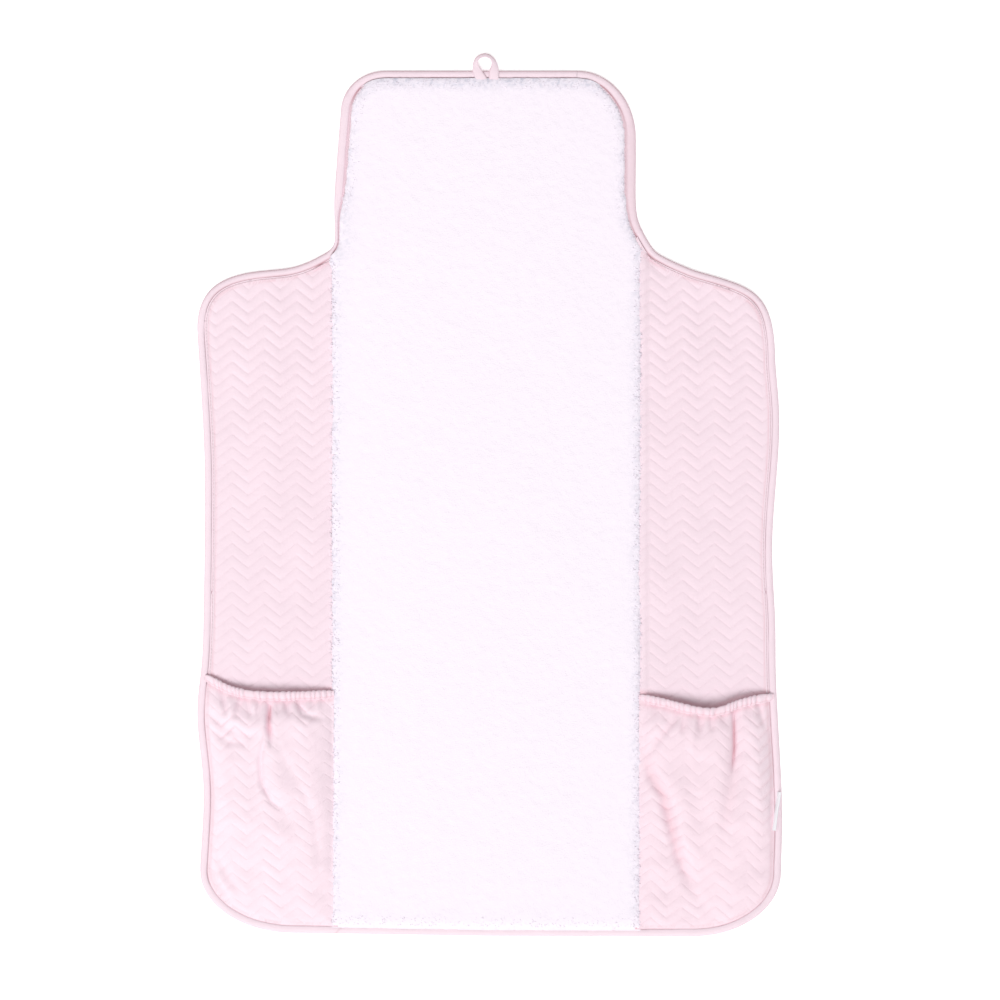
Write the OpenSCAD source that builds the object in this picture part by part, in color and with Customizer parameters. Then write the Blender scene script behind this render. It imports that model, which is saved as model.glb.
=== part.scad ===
// Fold-up travel changing pad with a terry top, two side wings, two gathered pockets and a closing loop.
// Millimetres. +Z is up, +Y runs from the foot to the head, and the pad lies open and flat on z = 0.

/* [Pad] */
// Width across the pockets
pad_w = 500; // [480:5:520]
// Length from the foot edge to the head edge, without the loop
pad_l = 743; // [730:1:763]
// Distance from the foot edge to the shoulders' inner corners
shoulder_l = 592; // [586:1:596]
// Width of the centre, between the two wing folds
centre_w = 266; // [264:1:268]
// Width of the head flap at its top corners
head_w = 254; // [244:2:258]
// Length of the head flap, from its fold to its edge
head_l = 123; // [118:1:125]
// Length of the foot half, from the foot edge to the cross fold
foot_l = 296; // [280:2:300]
// Corner radius of the head flap
head_corner_r = 46; // [30:2:56]
// Width of a foot corner, along the foot edge
foot_corner_w = 78; // [50:2:90]
// Height of a foot corner, along the side
foot_corner_h = 59; // [40:1:70]

/* [Layers] */
// Thickness of the back cover
back_t = 1.2; // [1:0.1:1.4]
// Thickness of the waterproof liner
liner_t = 0.3; // [0.2:0.1:0.4]
// Height of the top of the wadding under the towel
pad_fill_z = 4.0; // [3.8:0.1:4.2]
// Height of the top of the wadding in the wings
wing_fill_z = 3.0; // [2.8:0.1:3.1]
// Height of the top of the wings
wing_z = 4.5; // [4.5:0.1:4.8]
// Height of the top of the towel's pile
towel_z = 7.5; // [6.5:0.1:7.8]

/* [Binding] */
// Width of the binding on each face
bind_w = 8.6; // [8:0.2:10]
// Thickness of the folded binding tape
bind_t = 0.9; // [0.7:0.1:0.9]
// Height of the bound edge
bind_z = 4.4; // [4.4:0.1:4.5]

/* [Folds] */
// Gap that each section keeps from a fold line
fold_gap = 0.3; // [0.2:0.1:0.5]

/* [Pockets] */
// Distance of the pocket mouth's ends from the foot edge
mouth_y = 210; // [190:2:220]
// How far the gathered hem bows out from the straight line between its ends
mouth_bow = 14; // [12:0.5:16]
// Lean of the hem's bow towards the foot, from upright
mouth_lean = 57; // [50:1:60]
// Radius of the gathered hem
hem_r = 3.2; // [2.8:0.1:3.6]
// Radius of the elastic in the hem
elastic_r = 1.2; // [1:0.1:1.4]
// Thickness of the quilted pocket fabric
pocket_t = 1.6; // [1.2:0.1:2]

/* [Closure] */
// Radius of the eye of the loop
eye_r = 6; // [5.5:0.1:6.5]
// Outer radius of the loop
loop_r = 10; // [9:0.5:11]
// How far the loop stands out past the head edge
loop_out = 16; // [15:0.5:18]
// Radius of the button
button_r = 7.5; // [6.5:0.1:8]

/* [Label] */
// Length of the side label
label_l = 33; // [20:1:40]
// Height of the side label, from its seam to its fold
label_w = 9; // [6:0.5:12]

/* [Hidden] */

pink = "mistyrose";
deep_pink = "pink";
white = "white";
lining_grey = "gainsboro";

far = 1000;                                  // larger than anything on the pad
origin_y = (pad_l + loop_out) / 2;           // the origin lies halfway along the pad and its loop
head_fold_y = pad_l - head_l;
cross_fold_y = foot_l;
wing_fold_x = centre_w / 2;
side_x = pad_w / 2;
head_x = head_w / 2;

slot_gap = 0.1;                              // play between the binding and the flanges in it
seam_in = bind_t + slot_gap;                 // inset of a flange's edge from the outline
face_in = bind_w + 0.2;                      // inset of a cover's face, clear of the binding's lips
flange_in = bind_w + 1.4;                    // inset where a flange joins its cover
fill_in = bind_w + 1.8;                      // inset of the wadding and the liner
back_flange_z = [bind_t + slot_gap, 2.1];
front_flange_z = [2.2, bind_z - bind_t - slot_gap];

// Points along a cubic curve from a to d with handles b and c, without its first point
function cubic(a, b, c, d, n) = [
    for (i = [1:n]) let (t = i / n, s = 1 - t)
        s * s * s * a + 3 * s * s * t * b + 3 * s * t * t * c + t * t * t * d
];

// Points along an elliptical arc from angle a0 to a1
function arc(cx, cy, rx, ry, a0, a1, n) = [
    for (i = [0:n]) let (a = a0 + (a1 - a0) * i / n) [cx + rx * cos(a), cy + ry * sin(a)]
];

// The right edge of the pad, from the head corner down to the foot corner
neck_top = [head_x + 3, shoulder_l + 33];
shoulder = [head_x + 45, shoulder_l - 17.5];
shoulder_end = [side_x - 2.5, shoulder_l - 87];
waist = [side_x - 5.5, shoulder_l - 252];
hip = [side_x, shoulder_l - 420];
right_edge = concat(
    arc(head_x - head_corner_r, pad_l - head_corner_r, head_corner_r, head_corner_r, 90, 0, 10),
    [neck_top],
    cubic(neck_top, neck_top - [0, 29], shoulder - [32, -8.5], shoulder, 8),
    cubic(shoulder, shoulder + [43, -11], shoulder_end + [-1, 61], shoulder_end, 10),
    cubic(shoulder_end, shoulder_end - [-1, 65], waist + [0, 60], waist, 5),
    cubic(waist, waist - [0, 60], hip + [0, 60], hip, 5),
    arc(side_x - foot_corner_w, foot_corner_h, foot_corner_w, foot_corner_h, 0, -90, 10)
);
last = len(right_edge) - 1;
outline = concat(right_edge, [for (i = [0:last]) [-right_edge[last - i][0], right_edge[last - i][1]]]);

// The outline moved inwards by an inset
function inset(d) = let (n = len(outline)) [
    for (i = [0:n - 1])
        let (t = outline[(i + 1) % n] - outline[(i + n - 1) % n])
            outline[i] + d * [t[1], -t[0]] / norm(t)
];

// A slab of the whole pad, inset from the outline, between two heights
module slab(d, z) {
    translate([0, -origin_y, z[0]])
        linear_extrude(z[1] - z[0])
            polygon(inset(d));
}

// A band along the whole outline between two insets and two heights
module band(d0, d1, z) {
    difference() {
        slab(d0, z);
        slab(d1, z + [-1, 1]);
    }
}

// A box between two corners, given in distances from the pad's middle line and its foot edge
module block(low, high) {
    translate([low[0], low[1] - origin_y, low[2]])
        cube(high - low);
}

// The part of its children that belongs to one section of the pad
module section(name) {
    in_head = name == "head";
    in_foot_half = name == "foot" || name == "left_pocket" || name == "right_pocket";
    on_left = name == "left_wing" || name == "left_pocket";
    on_right = name == "right_wing" || name == "right_pocket";
    x = in_head ? [-far, far]
        : on_left ? [-far, -wing_fold_x - fold_gap]
        : on_right ? [wing_fold_x + fold_gap, far]
        : [fold_gap - wing_fold_x, wing_fold_x - fold_gap];
    y = in_head ? [head_fold_y + fold_gap, far]
        : in_foot_half ? [-far, cross_fold_y - fold_gap]
        : [cross_fold_y + fold_gap, head_fold_y - fold_gap];
    intersection() {
        children();
        block([x[0], y[0], -far], [x[1], y[1], far]);
    }
}

// The quilted outer fabric, which lies flat and turns up into the binding at the edge
module back_cover(name) {
    color(pink) section(name) {
        slab(face_in, [0, back_t]);
        band(seam_in, flange_in, back_flange_z);
    }
}

module waterproof_liner(name) {
    color(lining_grey) section(name)
        slab(fill_in, [back_t, back_t + liner_t]);
}

module wadding(name, low, high) {
    color(white) section(name)
        slab(fill_in, [low, high]);
}

// The terry top, sewn into the binding where it meets the edge
module towel(name) {
    color(white) section(name) {
        slab(face_in, [pad_fill_z, towel_z]);
        band(face_in, flange_in, [front_flange_z[0], pad_fill_z + slot_gap]);
        band(seam_in, flange_in, front_flange_z);
    }
}

// The quilted upper fabric of a wing
module front_cover(name) {
    color(pink) section(name) {
        slab(face_in, [wing_fill_z, wing_z]);
        band(seam_in, flange_in, front_flange_z);
    }
}

// The tape folded round the edge of the pad
module binding(name) {
    color(deep_pink) section(name)
        difference() {
            band(0, bind_w, [0, bind_z]);
            band(bind_t, bind_w + 1, [bind_t, bind_z - bind_t]);
        }
}

// ---- Closure ----

loop_y = pad_l + loop_out - loop_r;
loop_z = 3.4;
loop_h = 3;
loop_root_y = pad_l + 0.6;
loop_end_w = 9;
loop_end_t = 1.2;
loop_end_gap = 0.8;                          // between the two ends of the tape
// When the pad is folded the eye lies over this point of the foot's back
button_y = 2 * cross_fold_y - (2 * head_fold_y - loop_y);
button_z = [0.5, 2.1];
dimple_r = button_r + 0.8;
dimple_z = 2.5;
cup_r = dimple_r + back_t;
cup_cut_r = cup_r - 0.1;                     // the cover's cut lies just inside the cup, so that they join
cup_hole_r = cup_r + 0.2;
stitch_hole_r = 0.9;
stitch_hole_out = 1.9;
thread_r = 0.7;

// The two ends of the loop's tape, side by side on the binding
module loop_ends() {
    y = pad_l - bind_w - 0.1;
    z = bind_z + 0.05;
    color(deep_pink)
        for (x = [-loop_end_gap / 2 - loop_end_w, loop_end_gap / 2])
            block([x, y, z], [x + loop_end_w, y + bind_w, z + loop_end_t]);
}

// The free part of the loop, with a round eye
module closing_loop() {
    color(deep_pink) translate([0, loop_y - origin_y, loop_z])
        difference() {
            union() {
                cylinder(r = loop_r, h = loop_h, $fn = 96);
                translate([-loop_r, loop_root_y - loop_y, 0])
                    cube([2 * loop_r, loop_y - loop_root_y, loop_h]);
            }
            translate([0, 0, -1])
                cylinder(r = eye_r, h = loop_h + 2, $fn = 96);
            translate([-far / 2, loop_root_y - loop_y - far, -1])
                cube([far, far, loop_h + 2]);
        }
}

module at_button() {
    translate([0, button_y - origin_y, 0])
        children();
}

// The foot's back cover has a dimple that takes the button, so that the pad lies flat
module foot_back_cover() {
    color(pink) {
        difference() {
            back_cover("foot");
            at_button() translate([0, 0, -1]) cylinder(r = cup_cut_r, h = far, $fn = 96);
        }
        at_button() difference() {
            cylinder(r = cup_r, h = dimple_z + back_t, $fn = 96);
            translate([0, 0, -1]) cylinder(r = dimple_r, h = dimple_z + 1, $fn = 96);
        }
    }
}

module foot_fill(low, high) {
    difference() {
        wadding("foot", low, high);
        at_button() translate([0, 0, -1]) cylinder(r = cup_hole_r, h = far, $fn = 96);
    }
}

module at_stitch_holes() {
    for (a = [45:90:315])
        rotate(a) translate([stitch_hole_out, 0, 0])
            children();
}

// A four-hole button with a raised rim on its outer face
module closing_button() {
    rim_w = 2;
    color(deep_pink) at_button() difference() {
        cylinder(r = button_r, h = button_z[1], $fn = 96);
        translate([0, 0, -1]) cylinder(r = button_r - rim_w, h = button_z[0] + 1, $fn = 96);
        at_stitch_holes() translate([0, 0, -1]) cylinder(r = stitch_hole_r, h = 5, $fn = 32);
    }
}

// Thread crossed between the button's holes, and its knot under the button
module button_thread() {
    bar_t = 0.35;
    bar_z = button_z[0] - bar_t - 0.05;
    knot_z = button_z[1] + 0.05;
    color(white) at_button() {
        for (a = [45, 135])
            rotate(a) translate([0, 0, bar_z + bar_t / 2])
                cube([2 * stitch_hole_out, thread_r, bar_t], center = true);
        at_stitch_holes() translate([0, 0, bar_z + bar_t / 3])
            cylinder(r = thread_r, h = knot_z - bar_z, $fn = 32);
        translate([0, 0, knot_z])
            cylinder(r = stitch_hole_out + stitch_hole_r + 0.4, h = dimple_z - knot_z - 0.05, $fn = 48);
    }
}

// ---- Pockets, drawn on the right wing and mirrored for the left ----

seam_x = wing_fold_x + fold_gap + 0.2;
panel_z = wing_z + 0.05;
panel_y = face_in + 0.2;
panel_cols = 16;
panel_rows = 16;
full_at = 0.45;                              // share of its length at which a pocket reaches its full height
panel_side = [for (p = inset(face_in + 0.2)) if (p[0] > wing_fold_x) [p[1], p[0]]];
hem_z = wing_z + hem_r + 0.2;
mouth_chord = lookup(mouth_y, panel_side) - seam_x;
mouth_x = seam_x + mouth_chord / 2;
mouth_r = (mouth_chord * mouth_chord / 4 + mouth_bow * mouth_bow) / (2 * mouth_bow);
mouth_half = asin(mouth_chord / 2 / mouth_r);
mouth_rise = mouth_bow * cos(mouth_lean);
mouth_reach = mouth_bow * sin(mouth_lean);
elastic_bore_r = elastic_r + 0.2;

// Share of the mouth's bow, 0 at the seams and 1 in the middle, and share of the width at the same place
function bow(u) = (cos((2 * u - 1) * mouth_half) - cos(mouth_half)) / (1 - cos(mouth_half));
function width_share(u) = 0.5 + sin((2 * u - 1) * mouth_half) / (2 * sin(mouth_half));

// A point of the pocket's upper face, u across from the fold and v up from the foot edge, both 0 to 1
function panel_top(u, v) =
    let (mouth = mouth_y - mouth_reach * bow(u) - hem_r - 0.5,
         share = pow(v, 1.5),
         y = panel_y + (mouth - panel_y) * share,
         x = seam_x + (lookup(y, panel_side) - seam_x) * width_share(u),
         seam_lift = (hem_z + pocket_t / 2 - panel_z - pocket_t) * pow(share, 8),
         full = sin(min(90, 90 * share / full_at)))
    [x, y - origin_y, panel_z + pocket_t + mouth_rise * bow(u) * full + seam_lift];

// The point of the lower face under it, which stays on the wing along the seams
function panel_under(u, v) =
    let (p = panel_top(u, v), on_seam = u == 0 || u == 1)
    [p[0], p[1], on_seam ? panel_z : max(panel_z, p[2] - pocket_t)];

module pocket_panel() {
    rows = [for (j = [0:panel_rows]) j / panel_rows];
    cols = [for (i = [0:panel_cols]) i / panel_cols];
    w = panel_cols + 1;
    under = w * (panel_rows + 1);
    upper_points = [for (v = rows) for (u = cols) panel_top(u, v)];
    lower_points = [for (v = rows) for (u = cols) panel_under(u, v)];
    cells = [for (j = [0:panel_rows - 1]) for (i = [0:panel_cols - 1]) j * w + i];
    foot_row = [for (i = [0:panel_cols - 1]) i];
    mouth_row = [for (i = foot_row) panel_rows * w + i];
    fold_column = [for (j = [0:panel_rows - 1]) j * w];
    side_column = [for (a = fold_column) a + panel_cols];
    faces = concat(
        [for (a = cells) [a, a + w, a + w + 1, a + 1]],
        [for (a = cells) [under + a, under + a + 1, under + a + w + 1, under + a + w]],
        [for (a = foot_row) [under + a, a, a + 1, under + a + 1]],
        [for (a = mouth_row) [under + a + 1, a + 1, a, under + a]],
        [for (a = fold_column) [under + a + w, a + w, a, under + a]],
        [for (a = side_column) [under + a, a, a + w, under + a + w]]
    );
    color(pink) polyhedron(concat(upper_points, lower_points), faces);
}

// A round bar along the mouth's bow, in its leaning plane, cut off square at both seams
module mouth_bar(r) {
    intersection() {
        translate([mouth_x, mouth_y - origin_y, hem_z])
            rotate([90 + mouth_lean, 0, 0])
                translate([0, -mouth_r * cos(mouth_half), 0])
                    rotate(85 - mouth_half)
                        rotate_extrude(angle = 2 * mouth_half + 10, $fn = 96)
                            translate([mouth_r, 0]) circle(r = r, $fn = 48);
        block([seam_x, 0, 0], [seam_x + mouth_chord, far, far]);
    }
}

module pocket_hem() {
    color(pink) difference() {
        mouth_bar(hem_r);
        mouth_bar(elastic_bore_r);
    }
}

module pocket_elastic() {
    color(white) mouth_bar(elastic_r);
}

// A blank folded label that stands up from the inner edge of the binding
module woven_label() {
    label_t = 0.7;
    label_y = 90;
    label_lean = 55;
    label_x = side_x - bind_w + 0.3;
    label_z = bind_z + 0.7;
    color(white) translate([label_x, label_y - origin_y, label_z])
        rotate([0, -label_lean, 0])
            cube([label_w, label_l, label_t]);
}

module left() {
    mirror([1, 0, 0])
        children();
}

back_cover("torso");  // torso_back_cover
waterproof_liner("torso");  // torso_waterproof_liner
wadding("torso", back_t + liner_t, pad_fill_z);  // torso_wadding
towel("torso");  // torso_towel
binding("torso");  // neck_binding
back_cover("head");  // head_back_cover
waterproof_liner("head");  // head_waterproof_liner
wadding("head", back_t + liner_t, pad_fill_z);  // head_wadding
towel("head");  // head_towel
binding("head");  // head_binding
loop_ends();
closing_loop();
foot_back_cover();
color(lining_grey) foot_fill(back_t, back_t + liner_t);  // foot_waterproof_liner
foot_fill(back_t + liner_t, pad_fill_z);  // foot_wadding
towel("foot");  // foot_towel
binding("foot");  // foot_binding
closing_button();
button_thread();
back_cover("left_wing");  // left_wing_back_cover
wadding("left_wing", back_t, wing_fill_z);  // left_wing_wadding
front_cover("left_wing");  // left_wing_front_cover
binding("left_wing");  // left_wing_binding
back_cover("right_wing");  // right_wing_back_cover
wadding("right_wing", back_t, wing_fill_z);  // right_wing_wadding
front_cover("right_wing");  // right_wing_front_cover
binding("right_wing");  // right_wing_binding
back_cover("left_pocket");  // left_pocket_back_cover
wadding("left_pocket", back_t, wing_fill_z);  // left_pocket_wadding
front_cover("left_pocket");  // left_pocket_lining
binding("left_pocket");  // left_pocket_binding
left() pocket_panel();  // left_pocket_panel
left() pocket_hem();  // left_pocket_hem
left() pocket_elastic();  // left_pocket_elastic
back_cover("right_pocket");  // right_pocket_back_cover
wadding("right_pocket", back_t, wing_fill_z);  // right_pocket_wadding
front_cover("right_pocket");  // right_pocket_lining
binding("right_pocket");  // right_pocket_binding
pocket_panel();  // right_pocket_panel
pocket_hem();  // right_pocket_hem
pocket_elastic();  // right_pocket_elastic
woven_label();
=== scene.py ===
"""Looks of the fold-up travel changing pad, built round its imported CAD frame.

Points are worked out in millimetres from the pad's middle line and its foot edge, with z up from the floor,
and piece() turns them into metres in the frame.
"""
import math

import bpy
import numpy as np
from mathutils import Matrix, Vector, kdtree


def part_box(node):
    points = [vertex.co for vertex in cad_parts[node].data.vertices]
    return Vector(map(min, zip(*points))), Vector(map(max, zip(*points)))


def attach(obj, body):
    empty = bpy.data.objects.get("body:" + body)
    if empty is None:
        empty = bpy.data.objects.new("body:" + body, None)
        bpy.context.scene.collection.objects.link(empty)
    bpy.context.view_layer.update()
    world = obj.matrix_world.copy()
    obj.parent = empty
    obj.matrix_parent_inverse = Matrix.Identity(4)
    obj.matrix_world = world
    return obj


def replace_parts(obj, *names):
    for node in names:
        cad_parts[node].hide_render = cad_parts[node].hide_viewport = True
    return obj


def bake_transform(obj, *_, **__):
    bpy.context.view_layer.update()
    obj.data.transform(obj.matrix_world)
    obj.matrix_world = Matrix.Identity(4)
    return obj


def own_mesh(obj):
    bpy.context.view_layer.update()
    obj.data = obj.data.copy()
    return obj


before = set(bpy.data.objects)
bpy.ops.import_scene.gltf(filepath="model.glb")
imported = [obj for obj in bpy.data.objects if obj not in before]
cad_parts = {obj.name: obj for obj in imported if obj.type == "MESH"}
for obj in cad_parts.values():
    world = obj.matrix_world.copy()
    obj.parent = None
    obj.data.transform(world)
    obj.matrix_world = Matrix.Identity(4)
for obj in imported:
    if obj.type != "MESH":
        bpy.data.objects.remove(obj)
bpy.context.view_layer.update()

# ---- Sizes ----

MM = 0.001
ORIGIN = np.array([0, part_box("foot_binding")[0][1] / MM, 0])


def low(node):
    return np.array(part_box(node)[0]) / MM - ORIGIN


def high(node):
    return np.array(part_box(node)[1]) / MM - ORIGIN


FOLD_GAP = 0.3  # what each CAD section keeps from a fold line
WING_FOLD = high("torso_towel")[0] + FOLD_GAP
CROSS_FOLD = low("torso_towel")[1] - FOLD_GAP
HEAD_FOLD = high("torso_towel")[1] + FOLD_GAP
PAD_L = high("head_binding")[1]
HEAD_EDGE = PAD_L + 0.8
SIDE = high("right_pocket_binding")[0]
TOWEL_Z = high("torso_towel")[2]
WING_Z = high("left_wing_front_cover")[2]
BIND_Z = high("left_wing_binding")[2]
BUTTON_Y = (low("closing_button")[1] + high("closing_button")[1]) / 2
BUTTON_R = (high("closing_button")[0] - low("closing_button")[0]) / 2
DIMPLE_Z = 2.5  # height of the dimple over the button
FILL_Z = high("torso_wadding")[2]
WING_FILL_Z = high("left_wing_wadding")[2]
BACK_FILL_Z = low("torso_waterproof_liner")[2]
MID_Z = 2.3  # height at which front and back covers meet at a cut edge

WING_BEND = (WING_FOLD - 1.5, WING_FOLD + 12.5)  # how far from the middle line a wing's cloth bends
HEAD_BEND = (HEAD_FOLD - 8, HEAD_FOLD + 8)
FOOT_BEND = (CROSS_FOLD + 8, CROSS_FOLD - 8)
LOOP_BEND = (PAD_L, PAD_L + 6)
NECK_JOIN_Y = HEAD_FOLD - 13  # where the head's binding meets the wings'
HALF_JOIN_Y = (CROSS_FOLD + HEAD_FOLD) / 2 - 4  # where the head's and the foot's halves of the towel meet
HALF_X = WING_BEND[0]  # half the width of what doesn't bend with the wings
WORD = {-1: "left_", 1: "right_"}  # how the names of each side's bodies and pieces start
TOWEL_EDGE = {-1: WING_FOLD + 1.2, 1: WING_FOLD - 4.2}  # the towel lies a little off the middle

BIND_W = 8.6
ZIG_PERIOD = 27.6
ZIG_RISE = 11
ROW_PITCH = 10.4
ZIG_PEAK = {-1: -165.6, 1: 165.6}  # where a zigzag's peak lies on each side


# ---- Noise and easing ----

def ease(t):
    t = np.clip(t, 0, 1)
    return t * t * (3 - 2 * t)


def noise(x, y, size, seed):
    """Smooth noise from -1 to 1, with lumps about size across."""
    cells = 64
    lattice = np.random.default_rng(seed).uniform(-1, 1, (cells, cells))
    u, v = np.asarray(x) / size, np.asarray(y) / size
    i, j = np.floor(u).astype(int), np.floor(v).astype(int)
    a, b = ease(u - i), ease(v - j)
    i0, i1, j0, j1 = i % cells, (i + 1) % cells, j % cells, (j + 1) % cells
    near = lattice[i0, j0] * (1 - a) + lattice[i1, j0] * a
    far = lattice[i0, j1] * (1 - a) + lattice[i1, j1] * a
    return near * (1 - b) + far * b


def hump(distance, width):
    return np.exp(-(distance / width) ** 2)


def along(points, x, y):
    """Distance from points x, y to a polyline, and the share of its length at which it is nearest."""
    points = np.array(points, float)
    steps = np.linalg.norm(np.diff(points, axis=0), axis=1)
    starts = np.concatenate([[0], np.cumsum(steps)[:-1]])
    best, share = np.full(np.shape(x), 1e9), np.zeros(np.shape(x))
    for p, q, step, start in zip(points[:-1], points[1:], steps, starts):
        t = np.clip(((x - p[0]) * (q[0] - p[0]) + (y - p[1]) * (q[1] - p[1])) / step ** 2, 0, 1)
        d = np.hypot(x - p[0] - t * (q[0] - p[0]), y - p[1] - t * (q[1] - p[1]))
        share = np.where(d < best, (start + t * step) / steps.sum(), share)
        best = np.minimum(best, d)
    return best, share


def creases(folds, x, y):
    """Height of folds, each given as its points, its half width and its height, below zero for a valley."""
    total = np.zeros(np.shape(x))
    for points, width, height in folds:
        d, share = along(points, x, y)
        total += height * hump(d, width) * np.sqrt(np.sin(np.pi * np.clip(share, 0.02, 0.98)))
    return total


# ---- The outline ----

def cubic(a, b, c, d, n=30):
    t = np.linspace(0, 1, n + 1)[1:, None]
    a, b, c, d = (np.array(p, float) for p in (a, b, c, d))
    return (1 - t) ** 3 * a + 3 * (1 - t) ** 2 * t * b + 3 * (1 - t) * t * t * c + t ** 3 * d


def arc(cx, cy, rx, ry, a0, a1):
    a = np.radians(np.linspace(a0, a1, 31))
    return np.stack([cx + rx * np.cos(a), cy + ry * np.sin(a)], axis=1)


def smooth_curve(points, n=24):
    """A curve through all the points, without its first one."""
    p = np.array(points, float)
    p = np.concatenate([[2 * p[0] - p[1]], p, [2 * p[-1] - p[-2]]])
    return np.concatenate([
        cubic(p[i], p[i] + (p[i + 1] - p[i - 1]) / 6, p[i + 1] - (p[i + 2] - p[i]) / 6, p[i + 1], n)
        for i in range(1, len(p) - 2)
    ])


def side_edge(head_x, corner, neck, crown, side, foot):
    """One side of the pad, from the head corner down to the foot corner, with x outwards.

    head_x and the neck's points count x from the wing fold, and the crown's and the side's from the side.
    corner and foot are the two radii of the head and foot corners, foot with its height up the pad too.
    """
    head_x += WING_FOLD
    neck = [(WING_FOLD + x, y) for x, y in neck]
    crown_out, crown_down, *side = [(SIDE + x, y) for x, y in crown + side]
    return np.concatenate([
        arc(head_x - corner[0], HEAD_EDGE - corner[1], *corner, 90, 0),
        smooth_curve([(head_x, HEAD_EDGE - corner[1])] + neck),
        cubic(neck[-1], crown_out, crown_down, side[0]),
        smooth_curve(side),
        arc(side[-1][0] - foot[0], foot[2] + foot[1], *foot[:2], 0, -90),
    ])


RIGHT_EDGE = side_edge(
    head_x=-7.2, corner=(50, 58),
    neck=[(-7.2, 665), (-7.4, 635), (-6, 618), (-1.9, 606.7), (3.5, 597), (8.5, 589.5), (13, 586),
          (24, 580.3), (42, 572.6)],
    crown=[(-26, HEAD_FOLD - 62), (-5, HEAD_FOLD - 62)],
    side=[(-4.5, 495), (-1, 435), (-7, 340), (-4.5, 270), (-3.6, 215), (1.3, 116), (0.5, 56)],
    foot=(76, 55, 0),
)
LEFT_EDGE = side_edge(
    head_x=-5, corner=(38, 36),
    neck=[(-2, 670), (0.5, 633), (0, 603), (0.6, 595), (3.5, 590), (12, 585), (24, 579), (38, 574.6),
          (54, 572.6)],
    crown=[(-22, HEAD_FOLD - 50), (2, HEAD_FOLD - 61)],
    side=[(1.3, 520), (-2, 470), (-5.2, 400), (-4.6, 300), (-3, 240), (1.2, 190), (-4.2, 125), (-1.2, 58)],
    foot=(81, 54, 3),
)


def resampled(points, step):
    """The closed curve through points, at even steps, with its kinks smoothed."""
    points = np.concatenate([points, points[:1]])
    s = np.concatenate([[0], np.cumsum(np.linalg.norm(np.diff(points, axis=0), axis=1))])
    even = np.linspace(0, s[-1], int(s[-1] / step) + 1)[:-1]
    out = np.stack([np.interp(even, s, points[:, k]) for k in (0, 1)], axis=1)
    for _ in range(8):
        out = (np.roll(out, 1, axis=0) + 2 * out + np.roll(out, -1, axis=0)) / 4
    return out


EDGE_STEP = 1.25
EDGE = resampled(np.concatenate([RIGHT_EDGE, [(0, 0.4)], (LEFT_EDGE * [-1, 1])[::-1]]), EDGE_STEP)
EDGE_N = len(EDGE)


def crossing(start, axis, value):
    """Index of the next outline point past start that is nearest to a value. The point moves onto it."""
    for k in range(start, start + EDGE_N):
        a, b = EDGE[k % EDGE_N][axis] - value, EDGE[(k + 1) % EDGE_N][axis] - value
        if a * b <= 0:
            k = (k if abs(a) < abs(b) else k + 1) % EDGE_N
            EDGE[k][axis] = value
            return k
    raise ValueError("the outline never reaches that value")


RIGHT_NECK = crossing(40, 1, NECK_JOIN_Y)
RIGHT_CUT = crossing(RIGHT_NECK + 40, 1, CROSS_FOLD)
RIGHT_FOOT = crossing(RIGHT_CUT + 40, 0, HALF_X)
LEFT_FOOT = crossing(RIGHT_FOOT + 40, 0, -HALF_X)
LEFT_CUT = crossing(LEFT_FOOT + 40, 1, CROSS_FOLD)
LEFT_NECK = crossing(LEFT_CUT + 40, 1, NECK_JOIN_Y)

EDGE_T = np.roll(EDGE, -1, axis=0) - np.roll(EDGE, 1, axis=0)
EDGE_T /= np.linalg.norm(EDGE_T, axis=1)[:, None]
EDGE_IN = np.stack([EDGE_T[:, 1], -EDGE_T[:, 0]], axis=1)
EDGE_S = np.concatenate([[0], np.cumsum(np.linalg.norm(np.diff(EDGE, axis=0), axis=1))])

edge_tree = kdtree.KDTree(EDGE_N)
for k, p in enumerate(EDGE):
    edge_tree.insert((p[0], p[1], 0), k)
edge_tree.balance()


def edge_at(x, y):
    """Distance inside the outline, and the direction inwards there, for arrays of points."""
    near = np.array([edge_tree.find((a, b, 0))[1] for a, b in zip(np.ravel(x), np.ravel(y))])
    p, n = EDGE[near].reshape(*np.shape(x), 2), EDGE_IN[near].reshape(*np.shape(x), 2)
    return (x - p[..., 0]) * n[..., 0] + (y - p[..., 1]) * n[..., 1], n[..., 0], n[..., 1]


def depth(x, y):
    return edge_at(x, y)[0]


# ---- Grids ----

def zigzag(x, side):
    """Height of a quilting line over its own middle."""
    t = ((x - ZIG_PEAK[side]) / ZIG_PERIOD) % 1
    return ZIG_RISE * (np.abs(2 * t - 1) - 0.5)


def sheared_grid(x0, x1, y0, y1, side, parts, rows):
    """Grid points whose rows follow the quilting lines, and whose columns include every zigzag corner."""
    step, pitch = ZIG_PERIOD / 2 / parts, ROW_PITCH / rows
    first = math.ceil((x0 - ZIG_PEAK[side]) / step + 0.4)
    last = math.floor((x1 - ZIG_PEAK[side]) / step - 0.4)
    cols = np.array([x0] + [ZIG_PEAK[side] + k * step for k in range(first, last + 1)] + [x1])
    lines = np.arange(math.floor((y0 - ZIG_RISE) / pitch), math.ceil((y1 + ZIG_RISE) / pitch) + 1) * pitch
    x = np.tile(cols, (len(lines), 1))
    return x, lines[:, None] + zigzag(x, side)


def plain_grid(x0, x1, y0, y1, step):
    cols = np.linspace(x0, x1, round((x1 - x0) / step) + 1)
    lines = np.linspace(y0, y1, round((y1 - y0) / step) + 1)
    return np.meshgrid(cols, lines)


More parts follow.
